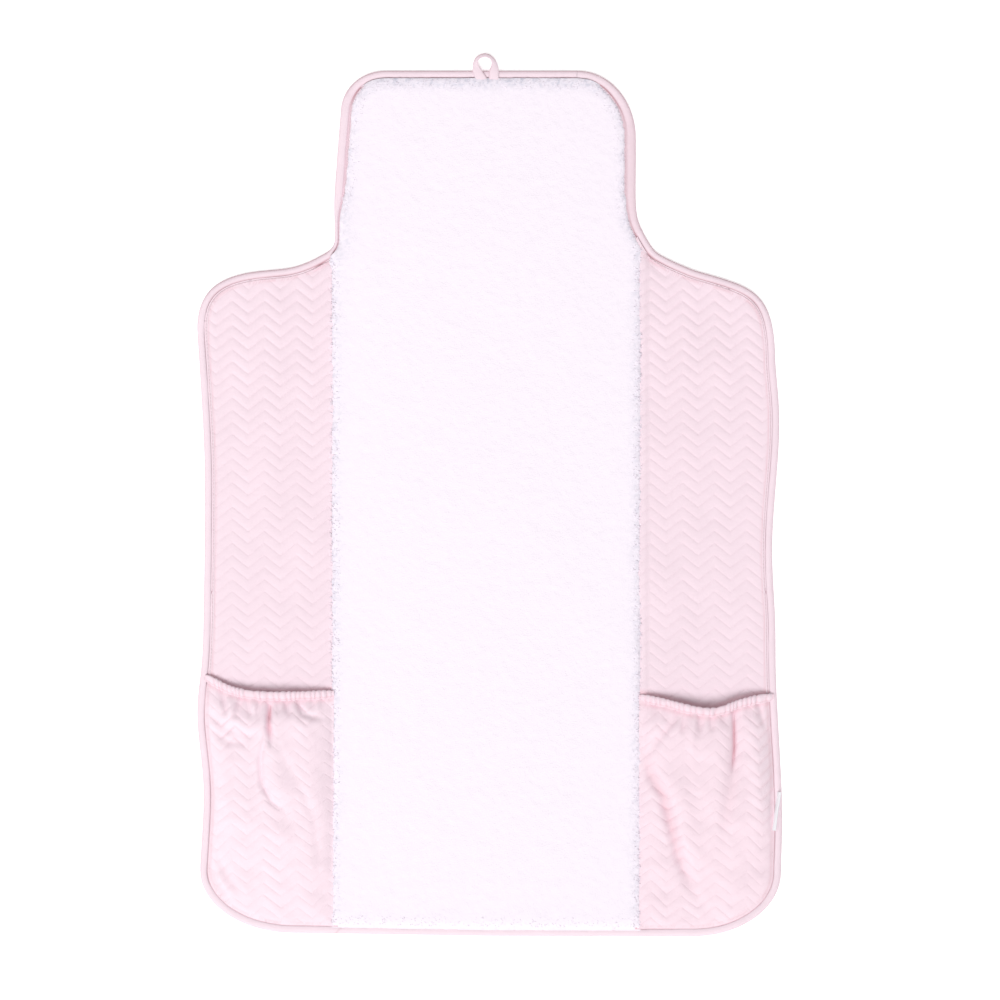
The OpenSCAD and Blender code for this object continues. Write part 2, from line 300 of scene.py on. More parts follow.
def trimmed(x, y, inset, limits, step):
    """The part of a grid inside the outline's inset and the limits, with its rim moved onto them.

    A limit is a function that gives the distance inside it and the direction inwards.
    Returns the points' x and y, and the faces.
    """
    def room(x, y):
        d, nx, ny = edge_at(x, y)
        return [(d - inset, nx, ny)] + [limit(x, y) for limit in limits]

    used = np.min([r[0] for r in room(x, y)], axis=0) > -0.35 * step
    cell = used[:-1, :-1] & used[1:, :-1] & used[1:, 1:] & used[:-1, 1:]
    touching = np.zeros(x.shape, int)
    for rows in (slice(0, -1), slice(1, None)):
        for cols in (slice(0, -1), slice(1, None)):
            touching[rows, cols] += cell
    rim = (touching > 0) & (touching < 4)
    x, y = x.copy(), y.copy()
    for _ in range(3):
        rx, ry = x[rim], y[rim]
        found = room(rx, ry)
        least = np.min([r[0] for r in found], axis=0)
        for d, nx, ny in found:
            moves = ((d <= least + 1e-6) & (np.abs(d) < 1.7 * step)) | (np.abs(d) < 0.55 * step)
            rx = rx - np.where(moves, d * nx, 0)
            ry = ry - np.where(moves, d * ny, 0)
        x[rim], y[rim] = rx, ry
    index = np.full(x.shape, -1)
    kept = touching > 0
    index[kept] = np.arange(kept.sum())
    r, c = np.nonzero(cell)
    faces = np.stack([index[r, c], index[r, c + 1], index[r + 1, c + 1], index[r + 1, c]], axis=1)
    return x[kept], y[kept], faces


def beyond(axis, value, sign):
    """A straight limit: where a coordinate is past a value, in the direction of sign."""
    def limit(x, y):
        way = np.zeros((2, *np.shape(x)))
        way[axis] = sign
        return sign * ((x, y)[axis] - value), *way
    return limit


def xyz(x, y, z):
    return np.stack(np.broadcast_arrays(x, y, z), axis=-1)


def strip_faces(rows, cols, ring):
    """Faces between rows of points. Where ring is true, each row closes on itself."""
    r, c = np.meshgrid(np.arange(rows - 1), np.arange(cols if ring else cols - 1), indexing="ij")
    a, b = r * cols + c, r * cols + (c + 1) % cols
    return np.stack([a, b, b + cols, a + cols], axis=-1).reshape(-1, 4)


def cap_faces(ring, first, turn):
    """Faces across a flat ring with an even number of points."""
    i = np.arange(ring // 2 - 1)
    faces = np.stack([i, i + 1, ring - 2 - i, ring - 1 - i], axis=1) + first
    return faces if turn else faces[:, ::-1]


def tube(rings, *values):
    """Points and faces of a capped tube through rings of points, (rings, points in each, 3).

    The caps have points of their own. Any values given for the rings' points come back with theirs added.
    """
    n, m = rings.shape[:2]
    faces = [strip_faces(n, m, True), cap_faces(m, n * m, True), cap_faces(m, (n + 1) * m, False)]
    listed = [v.reshape(n * m, -1) for v in (rings,) + values]
    points, *rest = [np.concatenate([v, v[:m], v[-m:]]) for v in listed]
    return points, np.concatenate(faces), *rest


def tubes(rings):
    """Many separate capped tubes, (tubes, rings, points in each, 3)."""
    one, faces = tube(rings[0])
    count = len(one)
    points = np.concatenate([rings.reshape(len(rings), -1, 3), rings[:, 0], rings[:, -1]], axis=1)
    faces = faces[None] + count * np.arange(len(rings))[:, None, None]
    return points.reshape(-1, 3), faces.reshape(-1, 4)


def thin_tubes(middles, across, up, radius, sides):
    """Many thin tubes along middles, (tubes, points, 3), with a radius at each point."""
    a = np.linspace(0, 2 * np.pi, sides, endpoint=False)[:, None]
    offset = np.cos(a) * across[:, None, None] + np.sin(a) * up[:, None, None]
    return tubes(middles[:, :, None] + radius[..., None, None] * offset)


def joined(*parts):
    """One set of points and faces from several."""
    points, faces, first = [], [], 0
    for p, f in parts:
        points.append(p)
        faces.append(f + first)
        first += len(p)
    return np.concatenate(points), np.concatenate(faces)


def add_object(name, data):
    obj = bpy.data.objects.new(name, data)
    bpy.context.scene.collection.objects.link(obj)
    return obj


def piece(name, points, faces, finish, slot, flat=None, shade_tone=None):
    """A smooth mesh from points in millimetres.

    flat is each point's place on the cloth before it was shaped, and the shade tone runs from 0, where the
    colour is all painted shade, to 1, where it is the cloth's own.
    """
    mesh = bpy.data.meshes.new(name)
    mesh.vertices.add(len(points))
    mesh.vertices.foreach_set("co", ((points + ORIGIN) * MM).astype(np.float32).ravel())
    mesh.loops.add(faces.size)
    mesh.loops.foreach_set("vertex_index", faces.astype(np.int32).ravel())
    mesh.polygons.add(len(faces))
    mesh.polygons.foreach_set("loop_start", np.arange(0, faces.size, 4, dtype=np.int32))
    mesh.update(calc_edges=True)
    mesh.polygons.foreach_set("use_smooth", np.ones(len(faces), bool))
    flat = (points if flat is None else flat) * MM
    shade_tone = np.ones(len(points)) if shade_tone is None else np.clip(shade_tone, 0, 1)
    layers = (("flat", "FLOAT_VECTOR", "vector", flat), ("shade_tone", "FLOAT", "value", shade_tone))
    for key, kind, field, values in layers:
        layer = mesh.attributes.new(key, kind, "POINT")
        layer.data.foreach_set(field, values.astype(np.float32).ravel())
    mesh.materials.append(finish)
    return add_object(name, mesh)


def place(x, y, z=0.0):
    """A point of the frame, in metres."""
    return tuple((np.array([x, y, z]) + ORIGIN) * MM)


def bend_head(obj):
    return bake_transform(obj, "torso", "head", place(0, HEAD_BEND[0]), place(0, HEAD_BEND[1]))


def bend_foot(obj):
    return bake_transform(obj, "torso", "foot", place(0, FOOT_BEND[0]), place(0, FOOT_BEND[1]))


def bend_side(obj, body, part):
    """Bakes a wing's piece, or a pocket's piece, where it lies."""
    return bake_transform(obj)


# ---- Materials ----

class Finish:
    """A material being built: a Principled shader with helpers for its nodes."""

    def __init__(self, name, colour, **sockets):
        self.material = bpy.data.materials.new(name)
        self.material.use_nodes = True
        self.tree = self.material.node_tree
        self.shader = self.tree.nodes["Principled BSDF"]
        self.shader.inputs["Base Color"].default_value = colour
        for socket, value in sockets.items():
            self.shader.inputs[socket.replace("_", " ")].default_value = value
        self.flat = self.node("Attribute", attribute_name="flat").outputs["Vector"]
        self.shade_tone = self.node("Attribute", attribute_name="shade_tone").outputs["Fac"]

    def node(self, kind, inputs=None, **settings):
        n = self.tree.nodes.new("ShaderNode" + kind)
        for key, value in settings.items():
            setattr(n, key, value)
        for key, value in (inputs or {}).items():
            if isinstance(value, bpy.types.NodeSocket):
                self.tree.links.new(value, n.inputs[key])
            else:
                n.inputs[key].default_value = value
        return n

    def maths(self, operation, a, b=0.0):
        return self.node("Math", {0: a, 1: b}, operation=operation).outputs[0]

    def noise(self, size, detail=2.0, where=None):
        """Noise with lumps about size millimetres across."""
        where = self.flat if where is None else where
        inputs = {"Vector": where, "Scale": 1 / (size * MM), "Detail": detail}
        return self.node("TexNoise", inputs).outputs["Fac"]

    def across(self):
        return self.node("SeparateXYZ", {0: self.flat}).outputs

    def tint(self, fac, low, high, dark, light, in_shade=None):
        """The base colour, from dark to light as fac goes from low to high, and the painted shade colour
        where the tone is 0.
        """
        def mixed(share, a, b):
            return self.node("Mix", {0: share, 6: a, 7: b}, data_type="RGBA").outputs[2]

        share = self.node("MapRange", {"Value": fac, "From Min": low, "From Max": high})
        mix = mixed(share.outputs[0], dark, light)
        if in_shade is not None:
            mix = mixed(self.shade_tone, in_shade, mix)
        self.tree.links.new(mix, self.shader.inputs["Base Color"])

    def bump(self, *layers):
        """Stacks bumps on the normal: each layer is its height and its depth in millimetres."""
        normal = None
        for height, depth in layers:
            inputs = {"Height": height, "Distance": depth * MM, "Strength": 1.0}
            if normal is not None:
                inputs["Normal"] = normal
            normal = self.node("Bump", inputs).outputs["Normal"]
        self.tree.links.new(normal, self.shader.inputs["Normal"])

    def rough(self, fac, low, high):
        share = self.node("MapRange", {"Value": fac, "To Min": low, "To Max": high}).outputs[0]
        self.tree.links.new(share, self.shader.inputs["Roughness"])


def shade(colour, share):
    return tuple(c * share for c in colour[:3]) + (1,)


def wave(f, where, pitch):
    """A sine over where, with crests pitch millimetres apart."""
    return f.maths("SINE", f.maths("MULTIPLY", where, 2 * math.pi / (pitch * MM)))


def knit(f, wale, course):
    """Height of a jersey knit: columns of V-shaped stitches, wale wide and course tall, in millimetres."""
    x, y, _ = f.across()
    lean = f.maths("PINGPONG", f.maths("DIVIDE", x, wale * MM), 0.5)
    rise = f.maths("ADD", f.maths("DIVIDE", y, course * MM), f.maths("MULTIPLY", lean, 1.3))
    stitch = f.maths("SINE", f.maths("MULTIPLY", rise, 2 * math.pi))
    return f.maths("ADD", f.maths("MULTIPLY", stitch, 0.3), f.maths("MULTIPLY", wave(f, x, wale), 0.2))


def quilting_groove(f, width):
    """Height of a fine groove, width millimetres wide, along the quilting lines."""
    x, y, _ = f.across()
    turn = f.maths("FRACT", f.maths("ADD", f.maths("DIVIDE", x, ZIG_PERIOD * MM), 100.0))
    rise = f.maths("ABSOLUTE", f.maths("SUBTRACT", f.maths("MULTIPLY", turn, 2.0), 1.0))
    height = f.maths("SUBTRACT", y, f.maths("MULTIPLY", f.maths("SUBTRACT", rise, 0.5), ZIG_RISE * MM))
    row = f.maths("FRACT", f.maths("ADD", f.maths("DIVIDE", height, ROW_PITCH * MM), 100.0))
    off_line = f.maths("SUBTRACT", 0.5, f.maths("ABSOLUTE", f.maths("SUBTRACT", row, 0.5)))
    return f.node("MapRange", {"Value": off_line, "From Max": width / 2 / ROW_PITCH},
                  interpolation_type="SMOOTHSTEP").outputs[0]


# Colours of painted shade, mixed in as the tone falls: in the pink cloth's creases and grooves, and at the
# towel's edges
PINK_IN_SHADE = (0.74, 0.40, 0.45, 1)
WHITE_IN_SHADE = (0.58, 0.58, 0.68, 1)


def jersey(name, colour, wale=0.9, depth=0.12, quilted=True, in_shade=PINK_IN_SHADE):
    """Soft brushed cotton jersey."""
    f = Finish(name, colour, Roughness=0.92, Sheen_Weight=0.25, Sheen_Roughness=0.45, Specular_IOR_Level=0.2)
    loops = knit(f, wale, wale * 0.8)
    broad = f.noise(38, 3)
    uneven = f.maths("ADD", broad, f.maths("MULTIPLY", loops, 0.05))
    f.tint(uneven, 0.3, 0.7, shade(colour, 0.965), colour, in_shade)
    f.rough(broad, 0.85, 0.98)
    groove = [(quilting_groove(f, 2.2), 0.12)] if quilted else []
    f.bump(*groove, (loops, depth), (f.noise(0.6, 2), 0.10), (f.noise(5, 2), 0.25))
    return f.material


def terry(name, colour):
    """White towelling with a short looped pile."""
    f = Finish(name, colour, Roughness=0.97, Sheen_Weight=0.35, Sheen_Roughness=0.6, Specular_IOR_Level=0.1)
    cells = {"Vector": f.flat, "Scale": 1 / (1.1 * MM)}
    loops = f.node("TexVoronoi", cells, feature="SMOOTH_F1").outputs[0]
    curls = f.noise(0.7, 4)
    patches = f.noise(9, 3)
    uneven = f.maths("ADD", patches, f.maths("MULTIPLY", curls, 0.6))
    f.tint(uneven, 0.55, 1.0, shade(colour, 0.98), colour, WHITE_IN_SHADE)
    f.bump((patches, 0.25), (loops, 0.22), (curls, 0.2))
    return f.material


def twisted_thread(name, colour):
    f = Finish(name, colour, Roughness=0.6, Sheen_Weight=0.2, Specular_IOR_Level=0.35)
    x, y, z = f.across()
    twist = wave(f, f.maths("ADD", f.maths("ADD", x, y), z), 0.55)
    f.tint(twist, -1, 1, shade(colour, 0.86), colour)
    f.bump((twist, 0.08))
    return f.material


def woven(name, colour, pitch, depth, sheen=0.3):
    """Plain woven tape."""
    f = Finish(name, colour, Roughness=0.7, Sheen_Weight=sheen, Specular_IOR_Level=0.35)
    x, y, _ = f.across()
    weave = f.maths("MULTIPLY", wave(f, x, pitch), wave(f, y, pitch))
    f.tint(weave, -1, 1, shade(colour, 0.93), colour)
    f.bump((weave, depth), (f.noise(2.5, 2), 0.05))
    return f.material


def clouded(name, colour, size, detail, dark, bumps, rough=None, **sockets):
    """A material whose colour, and roughness if that is given, follow noise with lumps of one size.

    Each of bumps is the size, the detail and the depth of its noise.
    """
    f = Finish(name, colour, **sockets)
    where = f.node("TexCoord").outputs["Object"]
    share = f.noise(size, detail, where)
    f.tint(share, 0.3, 0.7, shade(colour, dark), colour)
    if rough is not None:
        f.rough(share, *rough)
    f.bump(*[(f.noise(lump, fine, where), depth) for lump, fine, depth in bumps])
    return f.material


PINK = (0.915, 0.744, 0.818, 1)
QUILT = jersey("quilted_jersey", PINK)
# A little lighter than the wings' pink: painted light, which offsets the painted shade on the pockets
POCKET_JERSEY = jersey("pocket_jersey", shade(PINK, 1.03))
HEM_JERSEY = jersey("hem_jersey", PINK, quilted=False)
BACK_JERSEY = jersey("back_jersey", shade(PINK, 0.98))
TAPE_PINK = (0.905, 0.74, 0.81, 1)
# The tape's last colour is its painted shade, for its groove and its edges
TAPE = jersey("binding_tape", TAPE_PINK, wale=0.7, depth=0.09, quilted=False, in_shade=(0.52, 0.27, 0.31, 1))
TERRY = terry("terry", (0.912, 0.838, 0.915, 1))
THREAD = twisted_thread("sewing_thread", (0.90, 0.70, 0.76, 1))
ELASTIC = woven("braided_elastic", (0.9, 0.9, 0.9, 1), 0.9, 0.15)
LABEL = woven("label_satin", (0.9, 0.9, 0.93, 1), 0.3, 0.03, sheen=0.1)
WADDING = clouded("wadding", (0.9, 0.9, 0.9, 1), 1.2, 6, 0.88, [(4, 4, 1.0), (1.2, 6, 0.5)],
                  Roughness=1.0, Sheen_Weight=0.3, Specular_IOR_Level=0.05)
FILM = clouded("waterproof_film", (0.82, 0.83, 0.86, 1), 7, 4, 0.93, [(7, 4, 0.5)], rough=(0.28, 0.5),
               Roughness=0.35, Specular_IOR_Level=0.5, Coat_Weight=0.2)
BUTTON = clouded("button_plastic", (0.88, 0.66, 0.72, 1), 3.5, 3, 0.9, [(0.8, 2, 0.02)], rough=(0.24, 0.4),
                 Roughness=0.3, Specular_IOR_Level=0.5, Coat_Weight=0.4, Coat_Roughness=0.15)


# ---- Towel ----

def neck_cover(x, y):
    """How far the left wing's binding and the towel cover the head's beside the neck, from 0 to 1."""
    up_pad = ease((NECK_JOIN_Y + 34 - y) / 32) * (y > NECK_JOIN_Y - 60)
    return (x < 0) * up_pad * ease((x + WING_FOLD + 8) / 6)


def tape_share(x, y):
    """Share of the binding's usual width: more up the head's sides, and less beside the left neck."""
    head_side = ease((y - NECK_JOIN_Y - 10) / 40) * ease((HEAD_EDGE - 4 - y) / 22)
    return 1 + 0.16 * head_side - 0.5 * neck_cover(x, y)


def towel_room(x, d):
    """Distance inside the towel's long edges, or d where that is less."""
    return np.minimum(np.where(x < 0, x + TOWEL_EDGE[-1], TOWEL_EDGE[1] - x), d)


def towel_height(x, y):
    """Height of the top of the pile, rolled down at the towel's edges."""
    d = depth(x, y)
    ragged = 0.8 * noise(x, y, 4.5, 11) + 0.5 * noise(x, y, 1.9, 12)
    hem_shows = ease((HEAD_EDGE - 8 - y) / 10) * ease((y - 18) / 14)
    start = (7.4 + 1.3 * hem_shows) * tape_share(x, y)
    room = towel_room(x, d - start - 0.6) + 0.6 + ragged
    roll = np.sqrt(1 - (1 - np.clip(room / 8, 0, 1)) ** 2)
    top = TOWEL_Z - 0.6 + 0.4 * noise(x, y, 75, 13) + 0.14 * noise(x, y, 17, 14)
    pile = 0.12 * noise(x, y, 5.2, 15) + 0.16 * noise(x, y, 2.1, 16)
    foot = FILL_Z + 0.35 + 0.9 * (1 - ease((d - BIND_W) / 10)) * ease((y - 4) / 14)
    z = np.maximum(foot + (top - foot) * roll + pile * (2.8 - 1.8 * roll), FILL_Z + 0.1)
    return z - 3.0 * hem_shows * ease((start - d) / 1.0)


TUFT_LIFT = np.array([0, 1, 0.55, -0.5])  # how high a tuft stands at each of its rings
TUFT_GIRTH = np.array([0.8, 1, 0.85, 0.4])
TUFT_SIDES = 4
TUFT_POINTS = (len(TUFT_GIRTH) + 2) * TUFT_SIDES  # in each tuft's mesh, with its two caps
TUFTS_PER_MM = 1.6


def tufts(y0, y1):
    """Loops of pile that hang over the towel's edges, between two heights up the pad."""
    rng = np.random.default_rng(21)
    starts, ways = [], []
    for side in (-1, 1):
        n = int((y1 - y0) * TUFTS_PER_MM)
        ys = rng.uniform(y0, y1, n)
        xs = side * (TOWEL_EDGE[side] + 1.2 - 8 * rng.uniform(0, 1, n) ** 1.6)
        starts.append(np.stack([xs, ys], axis=1))
        ways.append(np.tile([float(side), 0.0], (n, 1)))
    x, y = EDGE.T
    by_towel = (x > -TOWEL_EDGE[-1] - 2) & (x < TOWEL_EDGE[1] + 2) & (y > y0 - 12) & (y < y1 + 12)
    round_edge = np.nonzero(by_towel)[0]
    pick = rng.choice(round_edge, int(len(round_edge) * 1.25 * TUFTS_PER_MM))
    inset = (BIND_W + 0.6 + 8 * rng.uniform(0, 1, len(pick)) ** 1.4) * tape_share(*EDGE[pick].T)
    starts.append(EDGE[pick] + EDGE_IN[pick] * inset[:, None])
    ways.append(-EDGE_IN[pick])
    start, way = np.concatenate(starts), np.concatenate(ways)
    d = depth(*start.T)
    keep = (d > BIND_W - 0.6) & (start[:, 1] > y0) & (start[:, 1] < y1)
    start, way = start[keep], way[keep]
    n = len(start)
    on_long_edge = np.abs(way[:, :1]) == 1
    reach = np.where(on_long_edge, rng.uniform(0.8, 2.3, (n, 1)), rng.uniform(0.6, 1.6, (n, 1)))
    across = xyz(-way[:, 1], way[:, 0], 0)
    slide = rng.uniform(-1.3, 1.3, (n, 1)) * across[:, :2]
    base_z = np.maximum(towel_height(*start.T) - 0.3, 4.4)
    radius = rng.uniform(0.18, 0.36, n)
    rise = rng.uniform(0.1, 0.9, n)
    t = np.array([0, 0.4, 0.75, 1])
    middle = start[:, None] + (way * reach + slide)[:, None] * t[:, None]
    z = base_z[:, None] + rise[:, None] * TUFT_LIFT
    middle = np.concatenate([middle, z[..., None]], axis=-1)
    up = np.tile([0.0, 0.0, 1.0], (n, 1))
    return thin_tubes(middle, across, up, radius[:, None] * TUFT_GIRTH, TUFT_SIDES)


def make_towel(name, y0, y1):
    step = 1.3
    x, y = plain_grid(-TOWEL_EDGE[-1] - 0.9, TOWEL_EDGE[1] + 0.9, y0, y1, step)
    x, y, faces = trimmed(x, y, BIND_W - 1.8, [], step)
    y = y - 1.8 * (1 - ease((y - 4) / 14))
    d = depth(x, y)
    x = x - 3.4 * neck_cover(x, y) * (1 - ease((d - BIND_W + 1.8) / 10))
    points = xyz(x, y, towel_height(x, y))
    d = depth(x, y)
    room = towel_room(x, d - BIND_W)
    # Painted shade, in specks, where the pile rolls down at the towel's edges: heavier at the head, and none
    # at the foot
    specks = np.clip(0.4 + 0.8 * noise(x, y, 1.7, 17) + 0.25 * noise(x, y, 6, 18), 0, 1) ** 2
    at_head = ease((y - HEAD_EDGE + 24) / 12)
    at_foot = 1 - ease((y - 11) / 12)
    shade_tone = 1 - (0.07 + 0.4 * specks) * hump(room, 7.5) * (1 + 0.8 * at_head) * (1 - at_foot)
    points, faces = joined((points, faces), tufts(y0, y1))
    tuft_count = (len(points) - len(x)) // TUFT_POINTS
    tuft_tone = np.repeat(np.random.default_rng(22).uniform(0.88, 1, tuft_count), TUFT_POINTS)
    return piece(name, points, faces, TERRY, "terry", shade_tone=np.concatenate([shade_tone, tuft_tone]))


towel_head = bend_head(make_towel("towel_head_half", HALF_JOIN_Y, PAD_L))
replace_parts(towel_head, "head_towel", "torso_towel")
towel_foot = bend_foot(make_towel("towel_foot_half", 0, HALF_JOIN_Y))
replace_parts(towel_foot, "foot_towel")


# ---- Pocket mouths ----

# Points of each hem's upper edge, outwards from the towel and up from the foot edge
HEM_TOP = {
    -1: [(HALF_X - 1, 213), (150, 212), (170, 211.4), (190, 211.4), (206, 212.6), (221, 216), (232, 221),
         (242, 226)],
    1: [(HALF_X - 4, 209.8), (150, 205.4), (166, 201.2), (180, 198.4), (190, 197.6), (200, 199.6),
        (213, 204.4), (226, 207.6), (242, 210)],
}
HEM_TALL = 9.2
HEM_END_Z = 6.4
HEM_RISE = {-1: 6.4, 1: 8.8}  # how far the middle of each hem stands above its ends
HEM_LEAN = 24  # degrees by which the hem's upper edge stands higher
RUFFLE = 4.9


def hem_line(side, x):
    """The hem's upper edge over x, counted outwards: how far up the pad, and how high."""
    route = np.concatenate([[HEM_TOP[side][0]], smooth_curve(HEM_TOP[side], 12)])
    share = np.clip((x - HALF_X) / (SIDE - BIND_W - HALF_X), 0, 1)
    return np.interp(x, route[:, 0], route[:, 1]), HEM_END_Z + HEM_RISE[side] * np.sin(np.pi * share) ** 0.7


# ---- Quilted covers ----

COVER_INSET = BIND_W - 2.2  # where the covers end under the binding
QUILT_RISE = 0.64  # how far a wing's pillows stand above their stitched lines


def row_share(x, y, side):
    """How far a point lies from one quilting line to the next, from 0 to 1."""
    return ((y - zigzag(x, side)) / ROW_PITCH) % 1


def quilting(x, y, side):
    """Relief of the quilting, from 0 on a stitched line to 1 on a pillow's crest."""
    return np.sin(np.pi * row_share(x, y, side)) ** 0.5


def puckers(x, y, side):
    """Small ripples that the stitching pulls along each line."""
    t = row_share(x, y, side)
    return noise(x, y, 3.6, 31) * hump(np.minimum(t, 1 - t), 0.22)


MOUTH_SHADE = {-1: 2.6, 1: 3.4}  # how far painted shade reaches behind each pocket's hem, in its mouth
MOUTH_DARK = {-1: 0.42, 1: 0.5}  # and how dark that painted shade is
NECK_PULLS = {
    -1: [([(-134, 596), (-143, 581), (-152, 568)], 3.2, -1.3), ([(-138, 590), (-152, 583)], 2.5, 0.9)],
    1: [([(133, 597), (139, 580), (148, 566)], 3.2, -1.2), ([(139, 588), (155, 578)], 2.5, 0.9)],
}


def wing_height(x, y, side):
    """Height of the top of a wing, and of the pocket's back wall, which goes on from it."""
    d = depth(x, y)
    in_from_tape = ease((d - BIND_W) / 7)
    in_from_towel = ease((np.abs(x) - TOWEL_EDGE[side] + 1) / 5)
    worn = 0.58 + 0.42 * ease((y - 370) / 170)
    relief = worn * QUILT_RISE * quilting(x, y, side) + 0.16 * puckers(x, y, side)
    sway = 0.5 * noise(x, y, 62, 33) + 0.25 * noise(x, y, 23, 34)
    calm = 0.35 + 0.65 * ease((y - 190) / 6)
    relief = relief * (0.25 + 0.75 * in_from_tape) * (0.4 + 0.6 * in_from_towel) * calm
    z = WING_FILL_Z + 0.8 + relief + (sway - 0.1) * in_from_tape + creases(NECK_PULLS[side], x, y)
    step_up = (FILL_Z - WING_FILL_Z + 0.1) * (1 - ease((np.abs(x) - WING_FOLD) / 4))
    floor = np.where(d > BIND_W + 1, WING_FILL_Z + 0.12, 2.6)
    return np.maximum(z, floor) + step_up


def skirted(x, y, z, faces, at, drop_z):
    """Closes a cut edge at y = at with a strip that goes down, or up, to drop_z."""
    rim = np.nonzero(np.abs(y - at) < 0.02)[0]
    rim = rim[np.argsort(x[rim])]
    inwards = np.sign(np.mean(y) - at) * FOLD_GAP
    points = xyz(x, y, z)
    lower = xyz(x[rim], at + inwards, drop_z)
    return joined((points, faces), (np.concatenate([points[rim], lower]), strip_faces(2, len(rim), False)))


def make_front(name, side, way):
    """The quilted top of a wing, way 1, or of a pocket's back wall, way -1, up to the cross fold."""
    x0, x1 = sorted((side * (TOWEL_EDGE[side] - 4), side * (SIDE + 4)))
    y0, y1 = (CROSS_FOLD, HEAD_FOLD) if way > 0 else (0, CROSS_FOLD)
    x, y = sheared_grid(x0, x1, y0, y1, side, 8, 6)
    x, y, faces = trimmed(x, y, COVER_INSET, [beyond(1, CROSS_FOLD, way)], 1.75)
    points, faces = skirted(x, y, wing_height(x, y, side), faces, CROSS_FOLD, MID_Z + 0.1)
    x, y, _ = points.T
    # Painted shade: in the quilting's stitched valleys, just inside the binding, and behind the pocket's
    # hem, in its mouth
    tape_shade = 0.35 * hump(depth(x, y) - BIND_W - 0.4, 1.2)
    behind_hem = y - hem_line(side, np.abs(x))[0]
    hem_shade = MOUTH_DARK[side] * (1 - ease((behind_hem - 0.5) / MOUTH_SHADE[side]))
    shade_tone = 0.96 + 0.04 * quilting(x, y, side) - tape_shade - hem_shade
    return piece(name, points, faces, QUILT, "quilted_jersey", shade_tone=shade_tone)


def back_height(x, y, side):
    """Height of the outside of the back, whose pillows rest on the floor."""
    d = depth(x, y)
    relief = 0.85 * (1 - quilting(x, y, side)) * ease((d - BIND_W) / 6)
    z = relief + 0.06 * (1 + noise(x, y, 3.6, 41)) + 0.08 * (1 + noise(x, y, 55, 42))
    z = np.minimum(z, BACK_FILL_Z - 0.08)
    from_button = np.hypot(x, y - BUTTON_Y)
    dimple = 1 - ease((from_button - BUTTON_R - 0.3) / 2.2)
    ring = hump(from_button - BUTTON_R - 7, 3.5)
    z = z * (1 - 0.5 * ring)
    return z * (1 - dimple) + (DIMPLE_Z - 0.05) * dimple


def make_back(name, side, x0, x1, y0, y1, limits, cut_y=None):
    x, y = sheared_grid(x0, x1, y0, y1, side, 6, 5)
    x, y, faces = trimmed(x, y, COVER_INSET, limits, 2.2)
    z, faces = back_height(x, y, side), faces[:, ::-1]
    points = xyz(x, y, z)
    if cut_y is not None:
        points, faces = skirted(x, y, z, faces, cut_y, MID_Z - 0.1)
    return piece(name, points, faces, BACK_JERSEY, "back_jersey")


def make_side_covers(side):
    """The fronts and backs of a wing and of its pocket, which meet at the cross fold."""
    word = WORD[side]
    front = bend_side(make_front(word + "wing_front", side, 1), "torso", "wing")
    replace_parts(front, word + "wing_front_cover")
    lining = bend_side(make_front(word + "pocket_back_wall", side, -1), "foot", "pocket")
    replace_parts(lining, word + "pocket_lining")
    x0, x1 = sorted((side * HALF_X, side * (SIDE + 4)))
    sections = (("wing", "torso", 1, CROSS_FOLD, HEAD_FOLD), ("pocket", "foot", -1, 0, CROSS_FOLD))
    for part, body, way, y0, y1 in sections:
        limits = [beyond(0, side * HALF_X, side), beyond(1, CROSS_FOLD, way)]
        back = make_back(word + part + "_back", side, x0, x1, y0, y1, limits, CROSS_FOLD)
        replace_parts(bend_side(back, body, part), word + part + "_back_cover")


def make_middle_back(name, y0, y1, way):
    """The back of the head's half, way 1, or of the foot's, way -1, between the wings."""
    limits = [beyond(0, -HALF_X, 1), beyond(0, HALF_X, -1), beyond(1, HALF_JOIN_Y, way)]
    return make_back(name, 1, -HALF_X, HALF_X, y0, y1, limits)


for side in (-1, 1):
    make_side_covers(side)
head_back = bend_head(make_middle_back("head_half_back", HALF_JOIN_Y, PAD_L, 1))
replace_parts(head_back, "head_back_cover", "torso_back_cover")
foot_back = bend_foot(make_middle_back("foot_half_back", 0, HALF_JOIN_Y, -1))
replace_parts(foot_back, "foot_back_cover")


# ---- Binding ----

# The tape's profile, as inset from the pad's edge and height: over the top, round the edge and back under
TAPE_TOP = [(9.5, 2.9), (9.4, 3.5), (9.0, 3.95), (8.3, 4.15), (7.7, 4.0), (7.25, 3.6), (6.95, 2.85),
            (6.65, 2.85), (6.35, 3.45), (5.8, 4.1), (4.7, 4.5), (3.3, 4.6), (2.1, 4.4), (1.1, 3.9),
            (0.4, 3.2)]
TAPE_EDGE = [(0.05, 2.3)]
TAPE_UNDER = [(0.35, 1.2), (1.2, 0.45), (2.6, 0.08), (4.6, 0.02), (6.0, 0.2), (6.8, 0.8), (7.3, 0.7),
              (8.0, 0.15), (8.8, 0.2), (9.2, 0.7), (9.3, 1.2), (9.4, 2.0)]
TAPE_PROFILE = np.array(TAPE_TOP + TAPE_EDGE + TAPE_UNDER)
GROOVE_INSET = 6.85
STITCH_INSET = 7.9
RIPPLE_PITCH = 4.6
JOIN_X = -129.5  # where the tape's two ends meet, on the foot edge
STITCH_LENGTH = 2.3
STITCH_GAP = 0.75


def outline_run(first, last):
    """Indices of outline points from first to last, going round past the start if need be."""
    return np.arange(first, last + 1 if last > first else last + 1 + EDGE_N)


